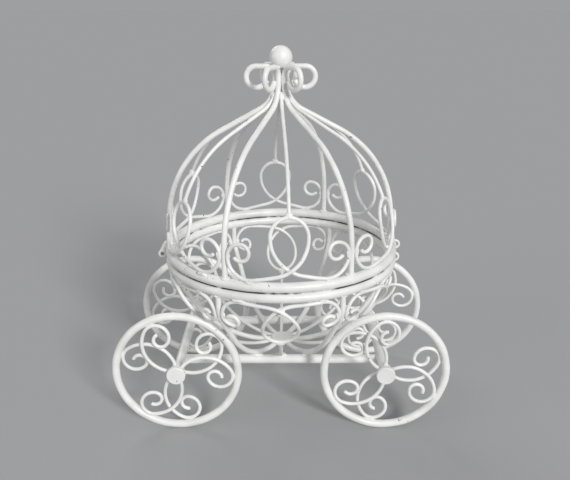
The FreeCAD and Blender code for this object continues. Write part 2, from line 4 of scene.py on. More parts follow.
import bpy
import numpy as np
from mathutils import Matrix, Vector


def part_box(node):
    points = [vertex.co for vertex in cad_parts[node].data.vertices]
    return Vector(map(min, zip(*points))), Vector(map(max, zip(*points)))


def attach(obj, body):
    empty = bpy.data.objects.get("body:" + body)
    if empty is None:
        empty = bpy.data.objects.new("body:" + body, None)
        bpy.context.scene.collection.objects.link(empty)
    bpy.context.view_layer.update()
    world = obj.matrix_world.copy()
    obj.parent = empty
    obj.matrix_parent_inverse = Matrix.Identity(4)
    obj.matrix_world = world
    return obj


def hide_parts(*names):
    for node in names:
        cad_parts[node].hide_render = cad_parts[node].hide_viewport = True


bl_info = {
    "name": "Wire coach card box",
    "version": (1, 0, 0),
    "blender": (4, 5, 0),
    "location": "View3D > Sidebar > Wire coach",
    "description": "Enamelled wires, weld beads and studio of a domed wire coach that holds cards",
    "category": "Add Mesh",
}

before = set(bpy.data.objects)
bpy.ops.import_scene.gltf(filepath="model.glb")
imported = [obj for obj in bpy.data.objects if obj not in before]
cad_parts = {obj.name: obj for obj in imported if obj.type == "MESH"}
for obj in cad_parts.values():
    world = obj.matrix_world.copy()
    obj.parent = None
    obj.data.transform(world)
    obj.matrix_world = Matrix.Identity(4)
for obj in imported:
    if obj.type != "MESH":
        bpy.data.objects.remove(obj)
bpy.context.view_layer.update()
MM = 0.001
SIDES = 6
PETALS = 3


def node_box(node):
    """Lowest and highest corner of a solid, in millimetres."""
    low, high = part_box(node)
    return np.array(low) / MM, np.array(high) / MM


def middle(node):
    low, high = node_box(node)
    return (low + high) / 2


def extent(node):
    low, high = node_box(node)
    return high - low


# Sizes that the solids give, in millimetres
LID_Z = middle("lid_ring")[2]
BASE_Z = middle("base_ring")[2]
RING_ROD = extent("lid_ring")[2]
MOUTH = extent("lid_ring")[0] / 2 - RING_ROD / 2
FLOOR_Z = middle("floor_plate")[2]
PLATE_RADIUS = extent("floor_plate")[0] / 2
RAIL_ROD = extent("front_rail")[2]
RAIL_Y = middle("rear_rail")[1]
RAIL_Z = middle("rear_rail")[2]
AXLE_X = middle("right_axle")[0]
BALL = middle("finial_ball")
BALL_RADIUS = extent("finial_ball")[2] / 2
RIM_ROD = extent("wheel_front_left_rim")[1]
WHEEL_RADIUS = extent("wheel_front_left_rim")[2] / 2
HUB_RADIUS = extent("wheel_front_left_hub")[2] / 2

# Bending sizes that the solids share, in millimetres and degrees
RIB_ROD = 4.5
SCROLL_WIRE = 3.0
STAY_WIRE = 3.0
SPOKE_WIRE = 3.0
WELD_SINK = 0.2
STRAND_GAP = 0.3
NECK_GAP = 0.05
PLATE_ENTRY = 2.0
LEVEL_RUN = 4.0
SCROLL_STAND = 1.2
CURL_TURN = 235.0
LID_CLOCK = 4.0
DOME = {"wall": 22.5, "radius": 89.0, "turn": 62.0, "ogee": 24.5}
CROWN = {"rise": 4.7, "bend": 8.0, "reach": 7.0, "curl": 8.4, "turn": 235.0, "tail": 3.0}
BOWL = {"wall": 11.6, "shoulder": 31.0, "turn": 34.0, "belly": 79.6}
LID_LOOP = {"tip": 53.5, "round": 14.4, "flank": 31.0, "curls": (17.0, 10.5, 6.5)}
BOWL_LOOP = {"tip": 52.5, "round": 15.6, "flank": 30.0, "curls": (14.5, 8.5, 5.0)}
PETAL = {"reach": 19.0, "width": 14.4, "curl": 10.5, "inner": 5.8, "turn": 205.0, "spread": 23.0}
NECK_RADIUS = RIB_ROD + NECK_GAP
POLE_RADIUS = PLATE_RADIUS - PLATE_ENTRY + LEVEL_RUN

# How far the skins of ribs and stays go into the rings and the floor plate, in millimetres
SKIN_ENTRY = 0.6

# Rounded end of a wire: rings of vertices, and the angle of the first one in radians
ROUND_STEPS = 5
ROUND_FROM = 0.25

# Searches along bending lines: steps to a crossing, and steps and reach in millimetres to a hub's edge
CROSSING_STEPS = 20001
ENTRY_STEPS = 400
ENTRY_RUN = 12.0

# Side of each wheel along Y, and how far its petals are turned in degrees
WHEELS = {
    "front_left": (-1, 18.0),
    "front_right": (-1, -6.0),
    "rear_left": (1, 53.0),
    "rear_right": (1, 41.0),
}

# Half lengths of the weld beads in millimetres: along the seam, out of it and across it
BEADS = {
    "ring": (3.4, 1.0, 1.5),
    "rib": (3.0, 0.9, 1.4),
    "loop_tip": (2.3, 1.7, 2.6),
    "crossing": (2.2, 1.0, 1.5),
    "rib_foot": (4.1, 2.9, 1.5),
    "ball": (2.2, 0.8, 1.6),
    "stay_end": (3.2, 1.7, 2.1),
    "rail": (4.6, 2.4, 1.5),
    "axle": (4.4, 1.3, 4.3),
    "eye": (1.9, 0.8, 1.3),
    "rim": (3.3, 0.9, 1.5),
    "hub": (2.0, 1.7, 1.9),
}

# Vertices along and round the beads
BEAD_GRID = (9, 10)
PAD_GRID = (11, 14)
COLLAR_GRID = (11, 16)
DROP_GRID = (6, 7)

# Shape of the beads: open angle at their tips, lumps, range of growth, and the swell of the largest
BEAD_TIP = 0.2
LUMPS_ROUND = 0.1
LUMPS_ALONG = 0.12
GROWTH = (0.85, 1.2)
SWELL_ABOVE = 0.85
SWELL = 0.45

# How far beads lie outside the wires' middle at a ring and at a rib, outside a hub, and up and down
# from an eye's foot, in millimetres
RING_BEAD_OUT = 0.9
RIB_BEAD_OUT = 0.5
HUB_BEAD_OUT = 0.2
EYE_BEAD_SHIFT = 1.6

# How far the collars are sunk into the axles and lie above the rails' middle, in millimetres
COLLAR_IN = 0.3
COLLAR_UP = 0.4

# Waves of the dipped coat: least and most length in millimetres, and turns round the wire
WAVE_LENGTHS = (9.0, 34.0)
WAVE_TURNS = (0, 1, 1, 2)

# Strength of the orange peel on wires and over welds
PEEL = 0.35
WELD_PEEL = 0.9

# Sizes of the finishes' patterns in millimetres
PATTERNS = {
    # The stretch pattern breaks up the painted shade and wear line at the rings' split
    "cloud": 28.0, "chip": 3.2, "chipped_region": 40.0, "worn_and_shaded_stretch": 14.0, "peel": 2.2, "sag": 9.0,
    "drawn_line": 0.4, "paper": 60.0,
}

# Depth of the coat's relief and distances from the split where its dark line (worn enamel and painted
# shade in the groove) is full and where it has faded out, in millimetres, and height of its sags against that
# of the peel
COAT = 0.4
WORN_AND_SHADED_EDGE = (0.4, 0.75)
SAG_SHARE = 2.5

# First seeds of the random draws
SEEDS = {
    "lid_ring": 8, "base_ring": 9, "ribs": 100, "scrolls": 200, "lid_stays": 300, "bowl_stays": 320,
    "rims": 400, "spokes": 420, "ball": 500, "lid_scroll_welds": 1000, "bowl_scroll_welds": 2000,
    "lid_rib_welds": 3000, "bowl_rib_welds": 3100, "crown_welds": 3200, "chassis_welds": 3300,
    "lid_eye_welds": 3400, "base_eye_welds": 3410, "lid_spatter": 3500, "bowl_spatter": 3600,
    "wheel_welds": 4000,
}

# Share of the coat's unevenness on thin wires and on the ball
THIN_SHARE = 0.8
BALL_SHARE = 0.4

# Polar angle of the small end faces of the ball, in radians
BALL_POLE = 0.04

# Drops of spatter: number at each rib foot, spread in degrees, lean outwards from the ribs' side of the
# ring in radians, least and most size in millimetres, and shares of it along, out and across
DROPS = 5
DROP_SPREAD = 6.5
DROP_LEAN = (-1.0, 1.2)
DROP_SIZES = (0.35, 0.85)
DROP_SHAPE = (1.2, 0.7, 1.0)

# Camera: degrees above the floor, distance and aim in millimetres
CAMERA_ELEVATION = 19.42
CAMERA_DISTANCE = 583.63
CAMERA_AIM = (3.34, 0.0, 147.36)

# Width of the camera's frame in millimetres, and the nearest distance that it shows in metres
CAMERA_FRAME = 36
CAMERA_NEAR = 0.01

# Lights: spread in degrees and the place that they shine from in metres, and what they aim at
LIGHTS = {
    "key": (14, (0.62, -1.1, 0.74)),
    "fill": (37, (-1.2, -0.7, 0.6)),
    "back": (30, (-0.6, 1.2, 1.0)),
}
LIGHT_AIM = (0.0, 0.0, 0.15)

# Radii of the floor's circles in metres, and the vertices on each
FLOOR_RADII = (0.01, 1.0, 8.0, 60.0)
FLOOR_SIDES = 48

X_AXIS = np.array([1.0, 0.0, 0.0])
Y_AXIS = np.array([0.0, 1.0, 0.0])
Z_AXIS = np.array([0.0, 0.0, 1.0])


class Bend:
    """Flat bending line of straights and arcs that follow each other without a corner.

    A span starts at (x0, y0) with heading h0 and curvature k. After a run d its heading is
    h0 + k d, and its point lies at the chord d sinc(k d / 2) in the direction h0 + k d / 2.
    """

    def __init__(self, x, y, heading):
        self.starts = [0.0]
        self.points = [(x, y)]
        self.headings = [math.radians(heading)]
        self.curvatures = []

    def add(self, length, degrees=0.0):
        """Add a span of a length that turns left by some degrees."""
        self.curvatures.append(math.radians(degrees) / length)
        end_x, end_y, heading = self.at(self.starts[-1] + length, last=True)
        self.starts.append(self.starts[-1] + length)
        self.points.append((float(end_x), float(end_y)))
        self.headings.append(float(heading))

    def arc(self, radius, degrees):
        self.add(radius * math.radians(abs(degrees)), degrees)

    @property
    def length(self):
        return self.starts[-1]

    def at(self, run, left=0.0, last=False):
        """Points at an array of distances, moved to the left, and the headings there."""
        run = np.asarray(run, float)
        count = len(self.curvatures)
        starts = np.array(self.starts[:count])
        if last:
            index = np.full(run.shape, count - 1)
        else:
            index = np.clip(np.searchsorted(starts, run, "right") - 1, 0, count - 1)
        d = run - starts[index]
        k = np.array(self.curvatures)[index]
        h0 = np.array(self.headings[:count])[index]
        origin = np.array(self.points[:count])[index]
        chord = d * np.sinc(k * d / (2 * math.pi))
        heading = h0 + k * d
        x = origin[..., 0] + chord * np.cos(h0 + k * d / 2) - left * np.sin(heading)
        y = origin[..., 1] + chord * np.sin(h0 + k * d / 2) + left * np.cos(heading)
        return x, y, heading


def dome_profile():
    """Dome rib in its upright plane, from the ring's centre to the start of the neck."""
    turn = math.radians(DOME["turn"])
    rounds = (DOME["radius"] + DOME["ogee"]) * (1 - math.cos(turn))
    plan = Bend(MOUTH, LID_Z, 90)
    plan.add(DOME["wall"])
    plan.arc(DOME["radius"], DOME["turn"])
    plan.add((MOUTH - NECK_RADIUS - rounds) / math.sin(turn))
    plan.arc(DOME["ogee"], -DOME["turn"])
    return plan


def dome_rib():
    """Whole dome rib: the profile, the neck, the bend under the ball and the crown's curl."""
    plan = dome_profile()
    plan.add(CROWN["rise"])
    plan.arc(CROWN["bend"], -90)
    plan.add(CROWN["reach"])
    plan.arc(CROWN["curl"], -CROWN["turn"])
    plan.add(CROWN["tail"])
    return plan


def bowl_profile():
    """Bowl rib in its upright plane, from the ring's centre to inside the floor plate."""
    turn = math.radians(BOWL["turn"])
    inset = BOWL["shoulder"] * (1 - math.cos(turn)) + BOWL["belly"] * math.cos(turn)
    plan = Bend(MOUTH, BASE_Z, -90)
    plan.add(BOWL["wall"])
    plan.arc(BOWL["shoulder"], -BOWL["turn"])
    plan.add((MOUTH - POLE_RADIUS - inset) / math.sin(turn))
    plan.arc(BOWL["belly"], BOWL["turn"] - 90)
    plan.add(LEVEL_RUN)
    return plan


def stay_lift():
    """How far the bowl's stays lie inside its ribs, so that two of them rest on the rails."""
    reach = math.hypot(RAIL_Y - POLE_RADIUS, FLOOR_Z + BOWL["belly"] - RAIL_Z)
    return BOWL["belly"] - (reach - (RAIL_ROD / 2 + STAY_WIRE / 2 - WELD_SINK))


class Panel:
    """Scroll wire: a flat half line with distances u beside and v along the rib, laid on a profile.

    The wire's point is the profile's point at v, moved out by a stand, and turned by the angle
    u / MOUTH. The two halves step apart by one wire where they cross, with a squared cosine.
    """

    def __init__(self, sizes, profile, outward, tip_stand):
        self.profile = profile
        self.outward = outward
        self.tip_stand = tip_stand
        self.tip = sizes["tip"]
        self.outer, second, inner = sizes["curls"]
        wire = SCROLL_WIRE / 2 - WELD_SINK
        self.touch = math.sqrt((RING_ROD / 2 + wire) ** 2 - SCROLL_STAND ** 2)
        beside = math.sqrt((RIB_ROD / 2 + wire) ** 2 - SCROLL_STAND ** 2)
        local = profile.at(self.touch + self.outer)[0]
        edge = MOUTH * (math.pi / SIDES - beside / local)
        across = self.outer - edge - (sizes["round"] - sizes["flank"])
        along = self.touch + self.outer - (self.tip - sizes["round"])
        inset = self.outer - sizes["flank"]
        run = math.sqrt(across ** 2 + along ** 2 - inset ** 2)
        heading = math.degrees(math.atan2(along, across) + math.atan2(inset, run)) % 360 - 360
        half = Bend(0, self.tip, 0)
        half.arc(sizes["round"], -90)
        half.arc(sizes["flank"], heading + 90)
        half.add(run)
        half.arc(self.outer, -180 - heading)
        self.touch_at = half.length
        ahead = np.linspace(sizes["round"] * math.pi / 2, half.length, CROSSING_STEPS)
        self.cross_at = ahead[np.argmax(half.at(ahead)[0] <= 0)]
        half.arc(self.outer, -90)
        half.arc(second, -90)
        half.arc(inner, -CURL_TURN)
        self.half = half

    def place(self, run, hand):
        """Points and outward normals of the wire at distances from its tip, on one hand."""
        u, v, _ = self.half.at(run)
        share = np.clip(run / self.touch_at, 0, 1)
        stand = self.tip_stand + (SCROLL_STAND - self.tip_stand) * share ** 2 * (3 - 2 * share)
        window = np.clip((run - self.cross_at) / (self.touch_at - self.cross_at), -1, 1)
        step = (SCROLL_WIRE + STRAND_GAP) / 2
        stand = stand + hand * step * np.cos(window * math.pi / 2) ** 2
        r, z, heading = self.profile.at(v, self.outward * stand)
        angle = hand * u / MOUTH
        out_r = -self.outward * np.sin(heading)
        out_z = self.outward * np.cos(heading)
        around = np.stack([np.cos(angle), np.sin(angle)], -1)
        point = np.concatenate([around * r[..., None], z[..., None]], -1)
        normal = np.concatenate([around * out_r[..., None], out_z[..., None]], -1)
        return point, normal


def spoke_plan():
    """One spoke in its petal's flat frame: a bow from the hub, then a curl that touches the rim."""
    layer = (SPOKE_WIRE + STRAND_GAP) / 2
    joined = RIM_ROD / 2 + SPOKE_WIRE / 2 - WELD_SINK
    contact = WHEEL_RADIUS - RIM_ROD / 2 - math.sqrt(joined ** 2 - layer ** 2)
    spread = math.radians(PETAL["spread"])
    curl = PETAL["curl"]
    curl_x = (contact - curl) * math.cos(spread)
    curl_y = -(contact - curl) * math.sin(spread)
    apex_x = PETAL["reach"]
    apex_y = PETAL["width"] / 2
    below = curl_y - apex_y
    bow = (curl ** 2 - (curl_x - apex_x) ** 2 - below ** 2) / (2 * (below + curl))
    bow_y = apex_y - bow
    inside = HUB_RADIUS - SPOKE_WIRE / 2
    away = math.hypot(apex_x, bow_y)
    nearer = (inside ** 2 - bow ** 2 + away ** 2) / (2 * away)
    aside = math.sqrt(inside ** 2 - nearer ** 2)
    start_x = (nearer * apex_x - aside * bow_y) / away
    start_y = (nearer * bow_y + aside * apex_x) / away
    start = math.degrees(math.atan2(start_y - bow_y, start_x - apex_x))
    end = math.degrees(math.atan2(curl_y - bow_y, curl_x - apex_x))
    plan = Bend(start_x, start_y, start - 90)
    plan.arc(bow, end - start)
    plan.arc(curl, -180 - end)
    plan.arc(PETAL["inner"], -PETAL["turn"])
    return plan


DOME_PROFILE = dome_profile()
BOWL_PROFILE = bowl_profile()
LID_PANEL = Panel(LID_LOOP, DOME_PROFILE, -1, 0.0)
BOWL_PANEL = Panel(BOWL_LOOP, BOWL_PROFILE, 1, -stay_lift())


# Surfaces
def unit(vectors):
    return vectors / np.linalg.norm(vectors, axis=-1, keepdims=True)


def blunt(wire):
    """Radius of the rounding at the end of a wire of a diameter."""
    return wire / 4


def runs(length, step, end_radius):
    """Distances along a wire, closer together in the rounded ends."""
    rounded = end_radius * (1 - np.cos(np.linspace(ROUND_FROM, math.pi / 2, ROUND_STEPS)))
    count = max(2, int((length - 2 * end_radius) / step))
    inner = np.linspace(end_radius, length - end_radius, count + 1)[1:-1]
    return np.concatenate([rounded, inner, length - rounded[::-1]])


def end_round(run, radius):
    """Share of the radius near a rounded end: the root of 1 - (1 - d / radius)^2."""
    near = np.clip(np.minimum(run, run[-1] + run[0] - run) / radius, 0, 1)
    return np.sqrt(1 - (1 - near) ** 2)


def waves(seed, run, angle, amount, loop=None):
    """Dipped unevenness: four waves along and round a wire, with seeded lengths and phases.

    On a closed line, a whole number of each wave fits in the loop.
    """
    dice = np.random.default_rng(seed)
    result = np.zeros(np.broadcast(run, angle).shape)
    for turns in WAVE_TURNS:
        length = dice.uniform(*WAVE_LENGTHS)
        if loop:
            length = loop / max(1, round(loop / length))
        shift = dice.uniform(0, 2 * math.pi, 2)
        wave = np.sin(2 * math.pi * run / length + shift[0])
        result = result + amount * wave * np.cos(turns * angle + shift[1])
    return result


def tube_grid(centre, normal, radius, around, seed, amount, closed=False):
    """Round skin on a line: P(s, a) = C(s) + r(s, a) (N cos a + B sin a), with B = T x N."""
    if closed:
        along = np.roll(centre, -1, 0) - np.roll(centre, 1, 0)
    else:
        along = np.gradient(centre, axis=0)
    tangent = unit(along)
    side = unit(np.cross(tangent, normal))
    front = np.cross(side, tangent)
    angle = np.arange(around) * 2 * math.pi / around
    steps = np.linalg.norm(np.diff(centre, axis=0), axis=1)
    run = np.concatenate([[0], np.cumsum(steps)])[:, None]
    loop = float(run[-1, 0] + steps[-1]) if closed else None
    r = np.asarray(radius, float).reshape(-1, 1) + waves(seed, run, angle[None], amount, loop)
    spread = front[:, None] * np.cos(angle)[:, None] + side[:, None] * np.sin(angle)[:, None]
    return centre[:, None] + r[..., None] * spread


def grid_faces(rows, columns, wrap_rows, first):
    """Quads of a grid that is closed round its columns, counted from a first vertex."""
    i = np.arange(rows if wrap_rows else rows - 1)[:, None]
    j = np.arange(columns)[None]
    following = (i + 1) % rows
    beside = (j + 1) % columns
    corners = [i * columns + j, i * columns + beside, following * columns + beside, following * columns + j]
    return first + np.stack(np.broadcast_arrays(*corners), -1).reshape(-1, 4)


def skin(name, grids, body, material, closed=False):
    """One piece of one or more grids; open grids get an end face, and every face is smooth."""
    points = []
    faces = []
    first = 0
    for grid in grids:
        rows, columns = grid.shape[:2]
        points.append(grid.reshape(-1, 3))
        faces += grid_faces(rows, columns, closed, first).tolist()
        if not closed:
            faces.append(list(range(first + columns - 1, first - 1, -1)))
            faces.append(list(range(first + (rows - 1) * columns, first + rows * columns)))
        first += rows * columns
    mesh = bpy.data.meshes.new(name)
    mesh.from_pydata((np.concatenate(points) * MM).tolist(), [], faces)
    mesh.polygons.foreach_set("use_smooth", np.ones(len(faces), bool))
    mesh.materials.append(material)
    piece = bpy.data.objects.new(name, mesh)
    bpy.context.scene.collection.objects.link(piece)
    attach(piece, body)
    return piece


def turned(points, degrees):
    """Points turned about Z."""
    angle = math.radians(degrees)
    cos = math.cos(angle)
    sin = math.sin(angle)
    spin = np.array([[cos, -sin, 0], [sin, cos, 0], [0, 0, 1]])
    return points @ spin.T


def unit_circle(count):
    """Points (cos a, sin a, 0) at even steps."""
    angle = np.arange(count) * 2 * math.pi / count
    return np.stack([np.cos(angle), np.sin(angle), np.zeros(count)], -1)


def upright_line(plan, start, end, step, end_radius, left=0.0):
    """Points in the XZ plane at distances from start to end of a bending line."""
    run = start + runs(end - start, step, end_radius)
    x, z, _ = plan.at(run, left)
    return run - start, np.stack([x, np.zeros_like(x), z], -1)


# Materials
def linear(code):
    """Linear colour of an sRGB hex value."""
    channels = np.array([int(code[i:i + 2], 16) for i in (1, 3, 5)]) / 255
    low = channels / 12.92
    high = ((channels + 0.055) / 1.055) ** 2.4
    return (*np.where(channels <= 0.04045, low, high), 1.0)


def add_node(tree, kind, settings=(), links=()):
    """Node of a kind with its settings, and with links from other nodes' outputs to its inputs."""
    item = tree.nodes.new(kind)
    for key, value in dict(settings).items():
        if isinstance(key, int) or key in item.inputs:
            item.inputs[key].default_value = value
        else:
            setattr(item, key, value)
    for key, source in dict(links).items():
        tree.links.new(source, item.inputs[key])
    return item


def per_metre(millimetres):
    """Texture scale of a pattern with features of a real size."""
    return 1 / (millimetres * MM)


def new_material(name):
    """Material with an empty node tree."""
    material = bpy.data.materials.new(name)
    material.use_nodes = True
    material.node_tree.nodes.clear()
    return material, material.node_tree


def dipped_enamel(name, finish, peel_strength, shaded_split_z=None):
    """White alkyd enamel dipped over steel wire.

    The coat is thick and soft-edged: it clouds a little where it runs thin, shows an orange
    peel, and is chipped to dark steel in small places. At a height where two pieces shut on each
    other, a broken dark line is painted in the chips' colour: partly enamel rubbed through, partly painted
    shade in the groove between them.
    """
    material, tree = new_material(name)
    place = add_node(tree, "ShaderNodeTexCoord").outputs["Object"]
    cloud = add_node(
        tree, "ShaderNodeTexNoise",
        {"Scale": per_metre(PATTERNS["cloud"]), "Detail": 3.0, "Roughness": 0.55}, {"Vector": place})
    tone = add_node(
        tree, "ShaderNodeMapRange", {"From Min": 0.35, "From Max": 0.68}, {"Value": cloud.outputs["Fac"]})
    white = add_node(
        tree, "ShaderNodeMix",
        {"data_type": "RGBA", 6: linear(finish.enamel_colour), 7: linear(finish.thin_colour)},
        {0: tone.outputs["Result"]})
    grain = add_node(
        tree, "ShaderNodeTexNoise",
        {"Scale": per_metre(PATTERNS["chip"]), "Detail": 2.0, "Roughness": 0.6}, {"Vector": place})
    region = add_node(
        tree, "ShaderNodeTexNoise",
        {"Scale": per_metre(PATTERNS["chipped_region"]), "Detail": 1.0}, {"Vector": place})
    spots = add_node(
        tree, "ShaderNodeMapRange", {"From Min": 0.69, "From Max": 0.71}, {"Value": grain.outputs["Fac"]})
    rare = add_node(
        tree, "ShaderNodeMapRange", {"From Min": 0.56, "From Max": 0.6}, {"Value": region.outputs["Fac"]})
    chip_and_shade_marks = add_node(
        tree, "ShaderNodeMath", {"operation": "MULTIPLY"},
        {0: spots.outputs["Result"], 1: rare.outputs["Result"]})
    # Painted shade: a broken dark line at the split's height, in the chips' colour, stands for the shade in
    # the groove between the rings as well as for rubbed-through enamel
    if shaded_split_z is not None:
        height = add_node(tree, "ShaderNodeSeparateXYZ", (), {"Vector": place}).outputs["Z"]
        above = add_node(tree, "ShaderNodeMath", {"operation": "SUBTRACT", 1: shaded_split_z * MM}, {0: height})
        apart = add_node(tree, "ShaderNodeMath", {"operation": "ABSOLUTE"}, {0: above.outputs["Value"]})
        dark_to, plain_from = WORN_AND_SHADED_EDGE
        line = add_node(
            tree, "ShaderNodeMapRange",
            {"From Min": dark_to * MM, "From Max": plain_from * MM, "To Min": 1.0, "To Max": 0.0},
            {"Value": apart.outputs["Value"]})
        breaks = add_node(
            tree, "ShaderNodeTexNoise",
            {"Scale": per_metre(PATTERNS["worn_and_shaded_stretch"]), "Detail": 3.0}, {"Vector": place})
        broken_dark_line = add_node(
            tree, "ShaderNodeMapRange", {"From Min": 0.4, "From Max": 0.52}, {"Value": breaks.outputs["Fac"]})
        worn_and_shaded_split = add_node(
            tree, "ShaderNodeMath", {"operation": "MULTIPLY"},
            {0: line.outputs["Result"], 1: broken_dark_line.outputs["Result"]})
        # The painted shade line joins the chips, so it darkens the colour, lowers the bump and raises the
        # roughness as they do
        chip_and_shade_marks = add_node(
            tree, "ShaderNodeMath", {"operation": "MAXIMUM"},
            {0: chip_and_shade_marks.outputs["Value"], 1: worn_and_shaded_split.outputs["Value"]})
    colour = add_node(
        tree, "ShaderNodeMix", {"data_type": "RGBA", 7: linear(finish.chip_and_shade_colour)},
        {0: chip_and_shade_marks.outputs["Value"], 6: white.outputs[2]})
    peel = add_node(
        tree, "ShaderNodeTexNoise",
        {"Scale": per_metre(PATTERNS["peel"]), "Detail": 1.0, "Roughness": 0.4}, {"Vector": place})
    sag = add_node(
        tree, "ShaderNodeTexNoise", {"Scale": per_metre(PATTERNS["sag"]), "Detail": 1.0}, {"Vector": place})
    height = add_node(
        tree, "ShaderNodeMath", {"operation": "MULTIPLY_ADD", 1: SAG_SHARE},
        {0: sag.outputs["Fac"], 2: peel.outputs["Fac"]})
    lowered = add_node(
        tree, "ShaderNodeMath", {"operation": "SUBTRACT"},
        {0: height.outputs["Value"], 1: chip_and_shade_marks.outputs["Value"]})
    bump = add_node(
        tree, "ShaderNodeBump", {"Strength": peel_strength, "Distance": COAT * MM},
        {"Height": lowered.outputs["Value"]})
    gloss = add_node(
        tree, "ShaderNodeMapRange", {"To Min": 0.26, "To Max": 0.46}, {"Value": cloud.outputs["Fac"]})
    rough_at_marks = add_node(
        tree, "ShaderNodeMath", {"operation": "MAXIMUM"},
        {0: gloss.outputs["Result"], 1: chip_and_shade_marks.outputs["Value"]})
    shader = add_node(
        tree, "ShaderNodeBsdfPrincipled", {"IOR": 1.5},
        {"Base Color": colour.outputs[2], "Roughness": rough_at_marks.outputs["Value"],
         "Normal": bump.outputs["Normal"]})
    add_node(tree, "ShaderNodeOutputMaterial", (), {"Surface": shader.outputs["BSDF"]})
    return material


def drawn_steel(name, finish):
    """Bright drawn steel of the hinge pin: fine lines along the wire, a little dull.

    The lines are wider than real ones, so that they show.
    """
    material, tree = new_material(name)
    place = add_node(tree, "ShaderNodeTexCoord").outputs["Object"]
    stretch = add_node(tree, "ShaderNodeMapping", {"Scale": (1.0, 0.05, 1.0)}, {"Vector": place})
    lines = add_node(
        tree, "ShaderNodeTexNoise", {"Scale": per_metre(PATTERNS["drawn_line"]), "Detail": 2.0},
        {"Vector": stretch.outputs["Vector"]})
    rough = add_node(
        tree, "ShaderNodeMapRange", {"To Min": 0.3, "To Max": 0.5}, {"Value": lines.outputs["Fac"]})
    tint = add_node(
        tree, "ShaderNodeMix",
        {"data_type": "RGBA", 6: linear(finish.pin_dark_colour), 7: linear(finish.pin_light_colour)},
        {0: lines.outputs["Fac"]})
    shader = add_node(
        tree, "ShaderNodeBsdfPrincipled", {"Metallic": 1.0},
        {"Base Color": tint.outputs[2], "Roughness": rough.outputs["Result"]})
    add_node(tree, "ShaderNodeOutputMaterial", (), {"Surface": shader.outputs["BSDF"]})
    return material


def matt_paper(name, colour):
    """Matt paper of the floor: no gloss, and a roughness that changes a little with its fibres."""
    material, tree = new_material(name)
    place = add_node(tree, "ShaderNodeTexCoord").outputs["Object"]
    fibre = add_node(
        tree, "ShaderNodeTexNoise", {"Scale": per_metre(PATTERNS["paper"]), "Detail": 4.0}, {"Vector": place})
    rough = add_node(
        tree, "ShaderNodeMapRange", {"To Min": 0.85, "To Max": 0.95}, {"Value": fibre.outputs["Fac"]})
    shader = add_node(
        tree, "ShaderNodeBsdfPrincipled", {"Base Color": linear(colour), "Specular IOR Level": 0.0},
        {"Roughness": rough.outputs["Result"]})
    add_node(tree, "ShaderNodeOutputMaterial", (), {"Surface": shader.outputs["BSDF"]})
    return material


# Values that a user would change
class CoachFinish(bpy.types.PropertyGroup):
    enamel_colour: bpy.props.StringProperty(
        name="Enamel", description="sRGB hex colour of the thick enamel", default="#F0F0EE")
    thin_colour: bpy.props.StringProperty(
        name="Thin enamel", description="sRGB hex colour where the enamel runs thin", default="#DCDCDA")
    # Dark steel of the chips; the same colour paints the shade and wear line at the rings' split
    chip_and_shade_colour: bpy.props.StringProperty(
        name="Chips", description="sRGB hex colour of the steel in chips", default="#4A4440")
    pin_dark_colour: bpy.props.StringProperty(
        name="Pin, dark", description="sRGB hex colour of the hinge pin's dull lines", default="#8E8C88")
    pin_light_colour: bpy.props.StringProperty(
        name="Pin, light", description="sRGB hex colour of the hinge pin's bright lines", default="#B8B6B2")
    unevenness: bpy.props.FloatProperty(
        name="Unevenness", description="Wave of the dipped coat, in millimetres", default=0.04, min=0)


class CoachMeshing(bpy.types.PropertyGroup):
    wire_step: bpy.props.FloatProperty(
        name="Wire step", description="Distance between rings of a wire's mesh, in millimetres",
        default=0.9, min=0.2)
    wire_sides: bpy.props.IntProperty(
        name="Wire sides", description="Vertices round a thin wire", default=14, min=6)
    rod_sides: bpy.props.IntProperty(
        name="Rod sides", description="Vertices round a thick rod", default=22, min=8)
    ring_steps: bpy.props.IntProperty(
        name="Ring steps", description="Vertices along a mouth ring or a rim", default=300, min=48)
    ball_rows: bpy.props.IntProperty(
        name="Ball rows", description="Rings of vertices from pole to pole of the ball", default=48, min=8)
    ball_sides: bpy.props.IntProperty(
        name="Ball sides", description="Vertices round the ball", default=64, min=12)


class CoachStage(bpy.types.PropertyGroup):
    floor_colour: bpy.props.StringProperty(
        name="Floor", description="sRGB hex colour of the floor", default="#ACACAD")
    room_colour: bpy.props.StringProperty(
        name="Room", description="sRGB hex colour of the even light from all round", default="#F4F5F7")
    lens: bpy.props.FloatProperty(
        name="Lens", description="Focal length for a 36 mm wide frame", default=42.0, unit="CAMERA")
    key_strength: bpy.props.FloatProperty(
        name="Key light", description="Strength of the broad light from the front right", default=2.4)
    fill_strength: bpy.props.FloatProperty(
        name="Fill light", description="Strength of the soft light from the left", default=0.42)
    back_strength: bpy.props.FloatProperty(
        name="Back light", description="Strength of the soft light from behind", default=0.7)
    room_light: bpy.props.FloatProperty(
        name="Room light", description="Strength of the even light from all round", default=0.38)


GROUPS = {"coach_finish": CoachFinish, "coach_meshing": CoachMeshing, "coach_stage": CoachStage}


class EnamelOperator:
    """Shared by the operators that make enamelled pieces."""

    @property
    def scene(self):
        return bpy.context.scene

    def enamel(self):
        return bpy.data.materials.get("dipped_enamel") or dipped_enamel(
            "dipped_enamel", self.scene.coach_finish, PEEL)


